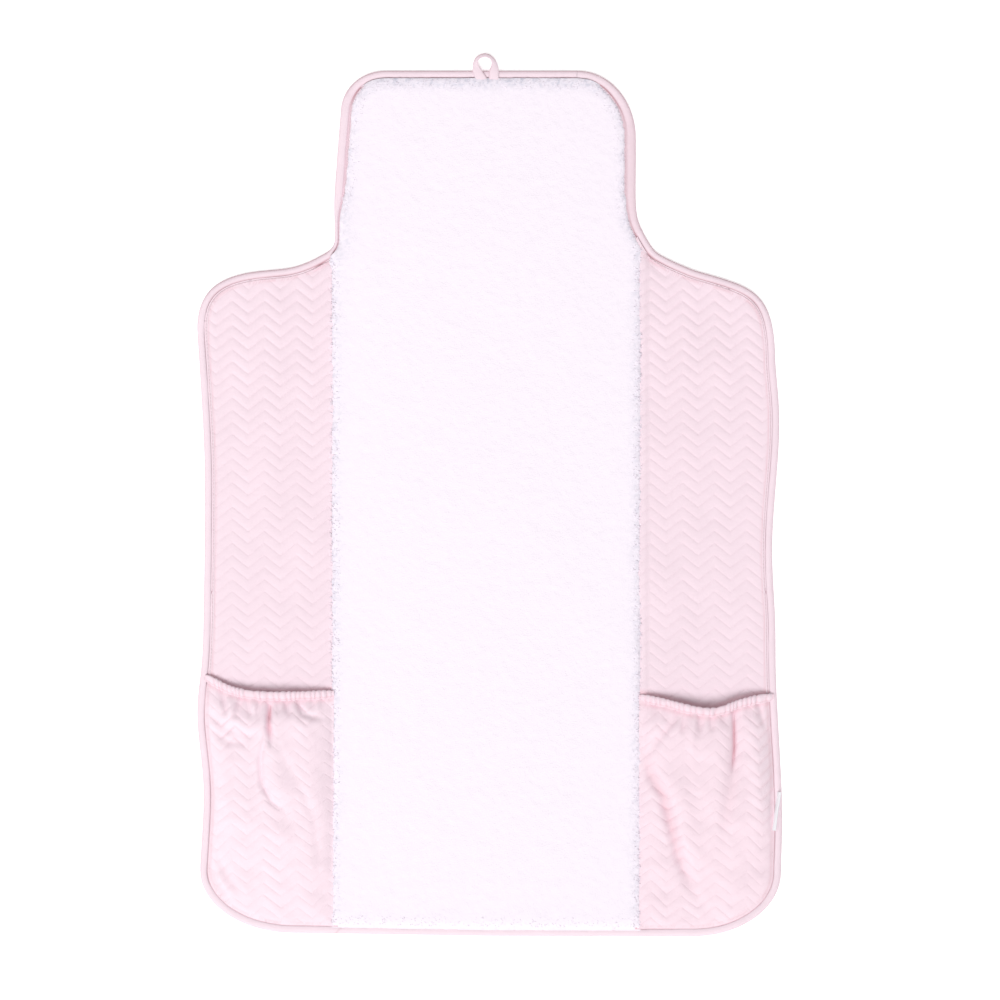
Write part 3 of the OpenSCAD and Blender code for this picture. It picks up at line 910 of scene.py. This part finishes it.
def tape_rings(run):
    """Rings of points of the binding along a stretch of the outline, with their cloth and their painted
    shade.
    """
    k = run % EDGE_N
    s, x, y = EDGE_S[k][:, None], EDGE[k][:, :1], EDGE[k][:, 1:]
    u, z = TAPE_PROFILE.T[:, None]
    top = ease((z - 2.4) / 1.2)
    by_groove = u - GROOVE_INSET
    on_head = y >= NECK_JOIN_Y
    faces_head, faces_foot = ease(-EDGE_IN[k][:, 1:] / 0.8), ease(EDGE_IN[k][:, 1:] / 0.8)
    shoulder, head_side = faces_head * (1 - on_head), (1 - faces_head) * on_head

    wide = (1 + 0.035 * noise(s, 0, 19, 51)) * tape_share(x, y)
    wide = wide * (1 - 0.5 * shoulder * np.maximum(by_groove, 0) / u)
    sway = 0.28 * noise(s, 0, 33, 54)
    inset = u * wide + sway * (u / BIND_W) ** 2 * 0.7

    ripple = 0.10 * np.sin(2 * np.pi * (s + 1.1 * u) / RIPPLE_PITCH + 2.5 * noise(s, 0, 13, 52))
    ripple = ripple * hump(u - 4.2, 3.2) * (top - 0.25)
    lumps = 0.16 * noise(s, u * 0.9, 7, 53) * (top - 0.3) * (u > 0.3)
    join_s = EDGE_S[np.argmin(np.hypot(EDGE[:, 0] - JOIN_X, EDGE[:, 1]))]
    seam = -0.55 * hump(s - join_s + 0.9 * (u - 4), 0.9) * top
    filled = 0.9 * faces_foot * hump(by_groove, 0.7) * top
    over_wadding = ease((x - 70) / 20) * on_head * (z > 2.5) * (u > 4) * (u < 9.45)
    height = np.maximum(z + ripple + lumps + seam + filled, (FILL_Z + 0.25) * over_wadding)
    xy = EDGE[k][:, None] + EDGE_IN[k][:, None] * inset[..., None]

    round_tape = np.cumsum(np.hypot(*np.diff(TAPE_PROFILE, axis=0, prepend=TAPE_PROFILE[:1]).T))
    flat = xyz(s, round_tape, 0 * height)
    # Painted shade: in the groove, most where the tape faces the head and least where it faces the foot;
    # along the outer edge, more where it faces the head and on the head's right side; and under the inner
    # rim. The seam where the tape's ends meet is darker too.
    groove = (0.4 + 0.6 * faces_head - 0.25 * head_side) * (1 - 0.8 * faces_foot)
    groove = groove * hump(by_groove, 0.65 + 0.65 * shoulder) + 0.3 * head_side * hump(u - 8.2, 1.1)
    outside = 0.14 * head_side * (x > 0) + (0.2 + 0.5 * faces_head) * hump(u, 1.0)
    shade_tone = 1 - groove - outside - 0.3 * (1 - 0.8 * shoulder) * hump(u - 9.5, 0.4) + 0.5 * seam
    return np.concatenate([xy, height[..., None]], axis=-1), flat, shade_tone


def stitch_line(starts, ends, radius, crest):
    """Short stitches between arrays of points, each diving into the cloth at its ends."""
    t = np.array([0, 0.22, 0.78, 1])
    girth = np.array([0.6, 1, 1, 0.6])
    way = ends - starts
    way /= np.linalg.norm(way, axis=1)[:, None]
    across = xyz(-way[:, 1], way[:, 0], 0)
    across /= np.linalg.norm(across, axis=1)[:, None]
    middle = starts[:, None] + (ends - starts)[:, None] * t[:, None]
    middle[..., 2] += np.array([-0.5, 1, 1, -0.5]) * crest
    radii = np.broadcast_to(radius * girth, (len(starts), len(t)))
    return thin_tubes(middle, across, np.cross(way, across), radii, 6)


def topstitch(run, inset, height):
    """A row of stitches along the binding."""
    k = run % EDGE_N
    s = EDGE_S[k] + np.where(run >= EDGE_N, EDGE_S[-1] + EDGE_STEP, 0)
    starts = np.arange(s[0] + 0.4, s[-1] - STITCH_LENGTH, STITCH_LENGTH + STITCH_GAP)
    line = EDGE[k] + EDGE_IN[k] * inset * tape_share(EDGE[k][:, :1], EDGE[k][:, 1:])

    def at(where):
        return xyz(np.interp(where, s, line[:, 0]), np.interp(where, s, line[:, 1]), height)

    return stitch_line(at(starts), at(starts + STITCH_LENGTH), 0.3, 0.12)


def make_binding(name, first, last, bend, *nodes):
    run = outline_run(first, last)
    points, faces, flat, shade_tone = tube(*tape_rings(run))
    tape = bend(piece(name, points, faces, TAPE, "binding_tape", flat, shade_tone))
    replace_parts(tape, *nodes)
    upper, lower = topstitch(run, STITCH_INSET, 4.0), topstitch(run, GROOVE_INSET, 0.5)
    bend(piece(name + "_topstitch", *joined(upper, lower), THREAD, "thread"))


def make_side_binding(side, part, body, first, last):
    def bend(obj):
        return bend_side(obj, body, part)

    name = WORD[side] + part
    make_binding(name + "_tape", first, last, bend, name + "_binding")


make_binding("head_binding_tape", LEFT_NECK, RIGHT_NECK, bend_head, "head_binding", "neck_binding")
make_side_binding(1, "wing", "torso", RIGHT_NECK, RIGHT_CUT)
make_side_binding(1, "pocket", "foot", RIGHT_CUT, RIGHT_FOOT)
make_binding("foot_tape", RIGHT_FOOT, LEFT_FOOT, lambda obj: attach(obj, "foot"), "foot_binding")
make_side_binding(-1, "pocket", "foot", LEFT_FOOT, LEFT_CUT)
make_side_binding(-1, "wing", "torso", LEFT_CUT, LEFT_NECK)


# ---- Pockets ----

# Folds of each pocket's cloth: points outwards and up the pad, half width, and height above the rest
FOLDS = {
    1: [
        ([(209, 198), (209.5, 180), (209.7, 163), (208, 144)], 1.3, -6.5),
        ([(211, 194), (211, 163), (208, 131), (203.5, 111), (200, 84)], 5.5, -2.9),
        ([(199, 190), (200, 155), (194, 112)], 9, 2.2),
        ([(221, 196), (227, 165), (231, 125), (228, 80)], 7, 1.8),
        ([(130, 168), (138, 140), (149, 122), (156.5, 94), (162.5, 70), (176, 38)], 5, -5.4),
        ([(154, 152), (163, 120), (171, 88), (180, 58)], 9, 2.4),
        ([(161, 195), (156, 184), (146, 172), (137, 158)], 3, -2.6),
        ([(174, 193), (173.2, 176), (172.4, 158)], 3.8, 2.6),
        ([(167, 193), (165.5, 175)], 2.2, -2.4),
        ([(180.5, 192), (180, 176)], 2.2, -2.0),
        ([(190, 190), (191, 176)], 2.4, -1.5),
        ([(231, 202), (234, 186), (241, 172)], 2.8, -2.0),
    ],
    -1: [
        ([(187.6, 203), (188.8, 186), (187, 166)], 2.2, -6.6),
        ([(187.8, 200), (188.8, 186)], 1.1, -2),
        ([(188, 176), (187, 158), (184, 142), (178, 128), (169, 117)], 9, 2.2),
        ([(190, 182), (196, 152), (194.5, 133), (187, 118), (175, 109)], 2.2, -3.2),
        ([(186, 178), (176, 154), (159, 125), (150, 99), (147, 76), (147, 46)], 4, -1.1),
        ([(240, 194), (227, 180), (214, 174), (199, 172)], 5, -3.0),
        ([(238, 178), (223, 168), (206, 166)], 3.5, -2.4),
        ([(221, 208), (220, 190)], 4.2, 2.6),
        ([(229, 212), (224.5, 190)], 2.3, -2.6),
        ([(213, 208), (217.5, 188)], 2.3, -2.6),
        ([(202, 207), (201, 192)], 3.4, 2.2),
        ([(196, 207), (199, 189)], 2.2, -2.2),
        ([(208, 207), (204, 189)], 2.2, -2.2),
        ([(166, 206), (160, 192), (140, 187)], 2.8, -2.6),
        ([(177, 206), (171, 191)], 2.4, -2.4),
        ([(241, 64), (233, 45), (222, 28)], 3, -2.2),
        ([(234, 74), (225, 52), (212, 34)], 4, -1.8),
        ([(168, 70), (180, 92), (196, 104)], 9, 1.6),
    ],
}

# Where a pocket's quilting stands out or flattens: points, half width, and how much the pillows grow
RIBS = {
    1: [
        ([(232, 200), (235, 165), (237, 130), (233, 90)], 11, 1.7),
        ([(140, 150), (152, 112), (163, 75), (177, 40)], 8, 1.3),
        ([(148, 190), (140, 168)], 10, 1.0),
        ([(196, 105), (200, 78)], 9, 0.8),
        ([(150, 22), (215, 26)], 9, 0.7),
    ],
    -1: [
        ([(236, 190), (222, 180), (202, 178)], 11, 3.6),
        ([(172, 196), (150, 190)], 12, 2.6),
        ([(188, 172), (186, 148), (178, 126)], 10, -0.75),
        ([(192, 96), (178, 60), (186, 30)], 12, 0.6),
    ],
}
# Each pocket's painted lightness: the left one is painted lighter, as if lit more
POCKET_PAINTED_LIGHT = {-1: 0.97, 1: 0.9}


def pocket_height(x, y, side):
    """Height of the outside of a pocket over x counted outwards, and how deep its creases are, for their
    painted shade.
    """
    d = depth(side * x, y)
    top_y, top_z = hem_line(side, x)
    hem_y, hem_z = top_y - HEM_TALL * 0.62, top_z - 3.4
    inner = TOWEL_EDGE[side]
    across = np.clip((x - inner) / (SIDE - BIND_W - inner), 0, 1)
    inside = np.minimum((d - BIND_W + 0.6) / 17, (x - inner + 0.5) / 20)
    dome = np.sqrt(1 - (1 - np.clip(inside, 0, 1)) ** 2)
    fullness = ease((y - 6) / 120)
    bag = FILL_Z + 0.1 + dome * (2.2 + 8.4 * fullness * np.sin(np.pi * across) ** 0.4)
    near_hem = ease((y - (hem_y - 24)) / 24)
    z = bag * (1 - near_hem) + hem_z * near_hem
    gather = np.cos(2 * np.pi * (x + 1.6 * noise(x, y, 12, 61)) / (2 * RUFFLE))
    z = z + 0.9 * gather * hump(hem_y - y, 10) * dome
    folded = creases(FOLDS[side], x, y) * np.clip(dome * 1.3, 0, 1)
    z = z + folded + (1.0 * noise(x, y, 21, 62) + 0.6 * noise(x, y, 10, 63)) * dome
    return np.maximum(z, wing_height(side * x, y, side) + 0.25), np.clip(-folded / 7, 0, 1)


def pocket_cloth(x, y):
    """Where a point of a pocket lay on the flat cloth, which is fuller at the mouth."""
    middle = (HALF_X + SIDE) / 2
    out = x - middle
    wander = 1.6 * noise(x, y, 34, 65)
    return middle + out * (1 + 0.14 * ease((y - 60) / 140)) + wander, y + 0.03 * out + wander


def make_pocket_panel(side):
    x0, x1 = sorted((side * (TOWEL_EDGE[side] - 0.6), side * (SIDE + 4)))
    x, y = sheared_grid(x0, x1, 0, 232, side, 10, 8)

    def under_hem(x, y):
        limit = hem_line(side, side * x)[0] - HEM_TALL * 0.6
        return limit - y, np.zeros(np.shape(x)), np.full(np.shape(x), -1.0)

    x, y, faces = trimmed(x, y, BIND_W - 1.6, [under_hem], 1.4)
    out = side * x
    u, v = pocket_cloth(out, y)
    d = depth(x, y)
    below_hem = hem_line(side, out)[0] - HEM_TALL - y
    calm = ease((d - BIND_W + 1) / 6) * ease((below_hem + 3) / 9)
    z, crease_shade = pocket_height(out, y, side)
    pillow = quilting(side * u, v, side)
    ribs = creases(RIBS[side], out, y)
    full_pillow = np.maximum(0.42 + 0.18 * noise(x, y, 37, 66) + 0.42 * ribs, 0.06)
    z = z + full_pillow * pillow * (0.2 + 0.8 * calm) + 0.12 * noise(x, y, 3.6, 64)
    # Painted light and shade: shade in the quilting's valleys and in the creases, light on the swollen
    # pillows' crests and where the pillows flatten, and shade just below the hem and inside the binding
    shade_tone = POCKET_PAINTED_LIGHT[side] + 0.04 * pillow - 0.15 * crease_shade - 0.6 * crease_shade ** 3
    shade_tone = shade_tone + 0.12 * np.maximum(ribs, 0) * (pillow - 0.6) + 0.12 * np.clip(-ribs, 0, 1)
    shade_tone = shade_tone - 0.3 * hump(below_hem, 2.0) - 0.25 * hump(d - BIND_W - 0.3, 1.0)
    name = WORD[side] + "pocket_front"
    return piece(name, xyz(x, y, z), faces, POCKET_JERSEY, "pocket_jersey", xyz(side * u, v, 0), shade_tone)


def hem_rings(side, half_tall, thin, thick, points_round):
    """Rings along a pocket's mouth, thin between its ruffles and thick on them, with cloth and painted
    shade.
    """
    first, last = TOWEL_EDGE[side] - 0.8, SIDE - BIND_W + 2.5
    x = np.linspace(first, last, int((last - first) / 0.55))
    path = xyz(x, *hem_line(side, x))
    s = np.concatenate([[0], np.cumsum(np.linalg.norm(np.diff(path, axis=0), axis=1))])[:, None]
    lean = math.radians(HEM_LEAN)
    down = np.array([0, -math.cos(lean), -math.sin(lean)])
    out = np.array([0, -math.sin(lean), math.cos(lean)])
    a = np.linspace(0, 2 * np.pi, points_round, endpoint=False)[None]
    up_hem = np.cos(a)
    wander = s + 3.6 * noise(s, 0, 13, 71) + 1.1 * noise(s, 2.2 * up_hem, 4.1, 73)
    ruffle = np.abs(np.sin(np.pi * wander / RUFFLE)) ** 0.8 * (0.75 + 0.25 * noise(s, up_hem, 5.3, 74))
    ends = ease(np.minimum(s, s[-1] - s) / 9)
    channel = 1 - 0.35 * hump(up_hem + 0.5, 0.15)
    rise = half_tall * (0.82 + 0.2 * ruffle) * (0.8 + 0.2 * ends)
    swell = (thin + (thick - thin) * ruffle) * channel * (0.6 + 0.4 * ends) * (1 + 0.1 * noise(s, 0, 7, 72))
    centre = path + down * HEM_TALL / 2
    rings = centre[:, None] - down * (up_hem * rise)[..., None] + out * (np.sin(a) * swell)[..., None]
    flat = xyz(1.25 * s, a * half_tall * 0.7, 0 * ruffle)
    # Painted shade between the ruffles and in the dip of the elastic's channel
    shade_tone = 1 - 0.3 * (1 - ruffle) ** 2 - 0.3 * hump(up_hem + 0.5, 0.2)
    rings[..., 0] *= side
    if side < 0:
        rings, flat, shade_tone = rings[:, ::-1], flat[:, ::-1], shade_tone[:, ::-1]
    return rings, flat, shade_tone


def fold_pocket(obj, side):
    """A pocket's loose cloth rides with it, on a mesh of its own."""
    body = WORD[side] + "pocket"
    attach(obj, body)
    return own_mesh(obj)


def make_pocket(side):
    word = WORD[side] + "pocket_"
    panel = fold_pocket(make_pocket_panel(side), side)
    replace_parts(panel, word + "panel")
    points, faces, flat, shade_tone = tube(*hem_rings(side, HEM_TALL / 2, 1.3, 3.4, 28))
    hem = piece(word + "gathered_hem", points, faces, HEM_JERSEY, "pocket_jersey", flat, shade_tone)
    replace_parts(fold_pocket(hem, side), word + "hem")
    points, faces, flat, _ = tube(*hem_rings(side, HEM_TALL / 2 - 1.6, 0.6, 0.6, 12))
    band = piece(word + "elastic_band", points, faces, ELASTIC, "braided_elastic", flat)
    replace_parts(fold_pocket(band, side), word + "elastic")


for side in (-1, 1):
    make_pocket(side)


# ---- Closing loop and label ----

LOOP_X = -3.4
# Points of the loop's outer and inner rim, from the head edge, each with its height above the floor
LOOP_OUTER = [(-8.6, -8, 5.3), (-10.2, -3, 5.5), (-11.1, 2.5, 5.3), (-10.5, 8, 4.4), (-7.2, 13, 3.8),
              (-1, 15.5, 3.6), (5.2, 13.4, 3.8), (9.4, 8, 4.4), (11, 2, 5.4), (11.4, -3.5, 5.6),
              (11.5, -8, 5.4)]
LOOP_INNER = [(2.2, -8, 5.2), (-0.2, -3.8, 5.9), (-2.8, 0, 6.0), (-6, 5.2, 6.2), (-6, 9.3, 6.4),
              (-1.2, 11.7, 6.4), (3.8, 10, 6.4), (5.2, 5.8, 6.3), (3.4, 0.5, 6.3), (2.9, -3.5, 5.9),
              (2.8, -8, 5.2)]


def make_loop():
    """A folded tape that comes up from the binding, round a teardrop eye and back."""
    def route(rim):
        points = [(x + LOOP_X, HEAD_EDGE - 0.6 + y, z) for x, y, z in rim]
        return np.concatenate([[points[0]], smooth_curve(points, 7)])

    outer, inner = route(LOOP_OUTER), route(LOOP_INNER)
    t = np.array([0, 0.06, 0.2, 0.4, 0.6, 0.8, 0.94, 1])
    crown = np.array([-0.45, 0.05, 0.32, 0.42, 0.42, 0.32, 0.05, -0.45])
    upper = outer[:, None] * (1 - t)[:, None] + inner[:, None] * t[:, None]
    upper[..., 2] += crown + 0.08 * noise(upper[..., 0], upper[..., 1], 2.4, 81)
    lower = upper[:, ::-1].copy()
    lower[..., 2] -= np.array([0.25, 0.9, 1.25, 1.3, 1.3, 1.25, 0.9, 0.25])
    # Painted shade along the outer edge of the loop's arch, and along its inner edge
    arch = ease((outer[:, 1:2] - HEAD_EDGE - 6) / 7)
    tone_upper = 1 - 0.75 * arch * hump(t, 0.22) - 0.25 * hump(t - 1, 0.1)
    shade_tone = np.concatenate([tone_upper, tone_upper[:, ::-1]], axis=1)[:, ::-1]
    points, faces, shade_tone = tube(np.concatenate([upper, lower], axis=1)[:, ::-1], shade_tone)
    loop = piece("closing_loop_tape", points, faces, TAPE, "binding_tape", shade_tone=shade_tone)
    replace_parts(loop, "closing_loop", "loop_ends")
    place(LOOP_X, LOOP_BEND[0])
    place(LOOP_X, LOOP_BEND[1])
    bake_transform(loop)


LABEL_X = 242.3  # where the label's seam starts, from the pad's middle line
LABEL_LEAN = 4.8  # how far outwards the seam runs over the label's length
LABEL_RISE = 3.6
LABEL_REACH = 3.1


def make_label():
    """A blank folded label that stands up from the binding's inner edge."""
    start, end = low("woven_label")[1], high("woven_label")[1]
    t = np.linspace(0, 1, 14)[None]
    bow = np.sin(np.pi * t * 0.5)
    s = np.linspace(0, end - start, 40)[:, None]
    layers = []
    for gap in (0.0, 0.45):
        x = LABEL_X + LABEL_REACH * t - gap * (1 - t) * bow + 0.25 * noise(s, t * 9, 9, 91)
        z = BIND_Z - 0.4 + LABEL_RISE * bow * 0.98 + gap * 0.3 * (1 - t)
        layers.append(xyz(x + LABEL_LEAN * s / (end - start), start + 1.5 + s, z))
    outer, inner = layers
    points, faces = tube(np.concatenate([outer, inner[:, ::-1]], axis=1))
    label = piece("blank_side_label", points, faces, LABEL, "label")
    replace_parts(fold_pocket(label, 1), "woven_label")


make_loop()
make_label()


# ---- CAD nodes that stay ----

def finish_node(name, material):
    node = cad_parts[name]
    node.data.materials.clear()
    node.data.materials.append(material)
    for slot in node.material_slots:
        slot.material = material


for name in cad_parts:
    if "wadding" in name:
        finish_node(name, WADDING)
    elif "liner" in name:
        finish_node(name, FILM)
finish_node("closing_button", BUTTON)
finish_node("button_thread", THREAD)


# ---- Floor, lights and camera ----

FLOOR_HALF = 4.0
FLOOR_Z = -0.0004


def make_floor():
    f = Finish("studio_floor", (0.96, 0.96, 0.96, 1), Roughness=0.9, Specular_IOR_Level=0.1,
               Emission_Color=(1, 1, 1, 1), Emission_Strength=0.3)
    patches = f.node("TexNoise", {"Scale": 3.0}).outputs["Fac"]
    f.tint(patches, 0.3, 0.7, (0.95, 0.95, 0.95, 1), (0.97, 0.97, 0.97, 1))
    mesh = bpy.data.meshes.new("floor")
    corners = [(-1, -1), (1, -1), (1, 1), (-1, 1)]
    mesh.from_pydata([(x * FLOOR_HALF, y * FLOOR_HALF, FLOOR_Z) for x, y in corners], [], [(0, 1, 2, 3)])
    mesh.materials.append(f.material)
    add_object("floor", mesh)


def add_light(name, kind, place_at, power, **settings):
    """A light aimed at the pad's middle. A sun's light is even, and place_at only gives its direction."""
    data = bpy.data.lights.new(name, kind)
    data.energy = power
    for key, value in settings.items():
        setattr(data, key, value)
    light = add_object(name, data)
    light.location = place_at
    light.rotation_mode = "QUATERNION"
    light.rotation_quaternion = (-Vector(place_at)).to_track_quat("-Z", "Y")


def light_scene():
    world = bpy.data.worlds.new("studio")
    bpy.context.scene.world = world
    world.use_nodes = True
    background = world.node_tree.nodes["Background"]
    background.inputs["Color"].default_value = (1, 1, 1, 1)
    background.inputs["Strength"].default_value = 0.52
    add_light("key", "SUN", (-0.12, -1.0, 1.6), 1.82, angle=math.radians(30))
    add_light("left_fill", "AREA", (-1.6, -0.5, 1.9), 11, shape="SQUARE", size=0.8)


VIEW_WIDTH = 0.86


def make_camera():
    """Straight down over the pad, wide enough for it and a white border."""
    data = bpy.data.cameras.new("camera")
    data.lens = 100
    data.sensor_width = 36
    camera = add_object("camera", data)
    camera.location = (0.009, -0.0045, VIEW_WIDTH * data.lens / data.sensor_width)
    bpy.context.scene.camera = camera


make_floor()
light_scene()
make_camera()
bpy.context.scene.view_settings.view_transform = "Standard"
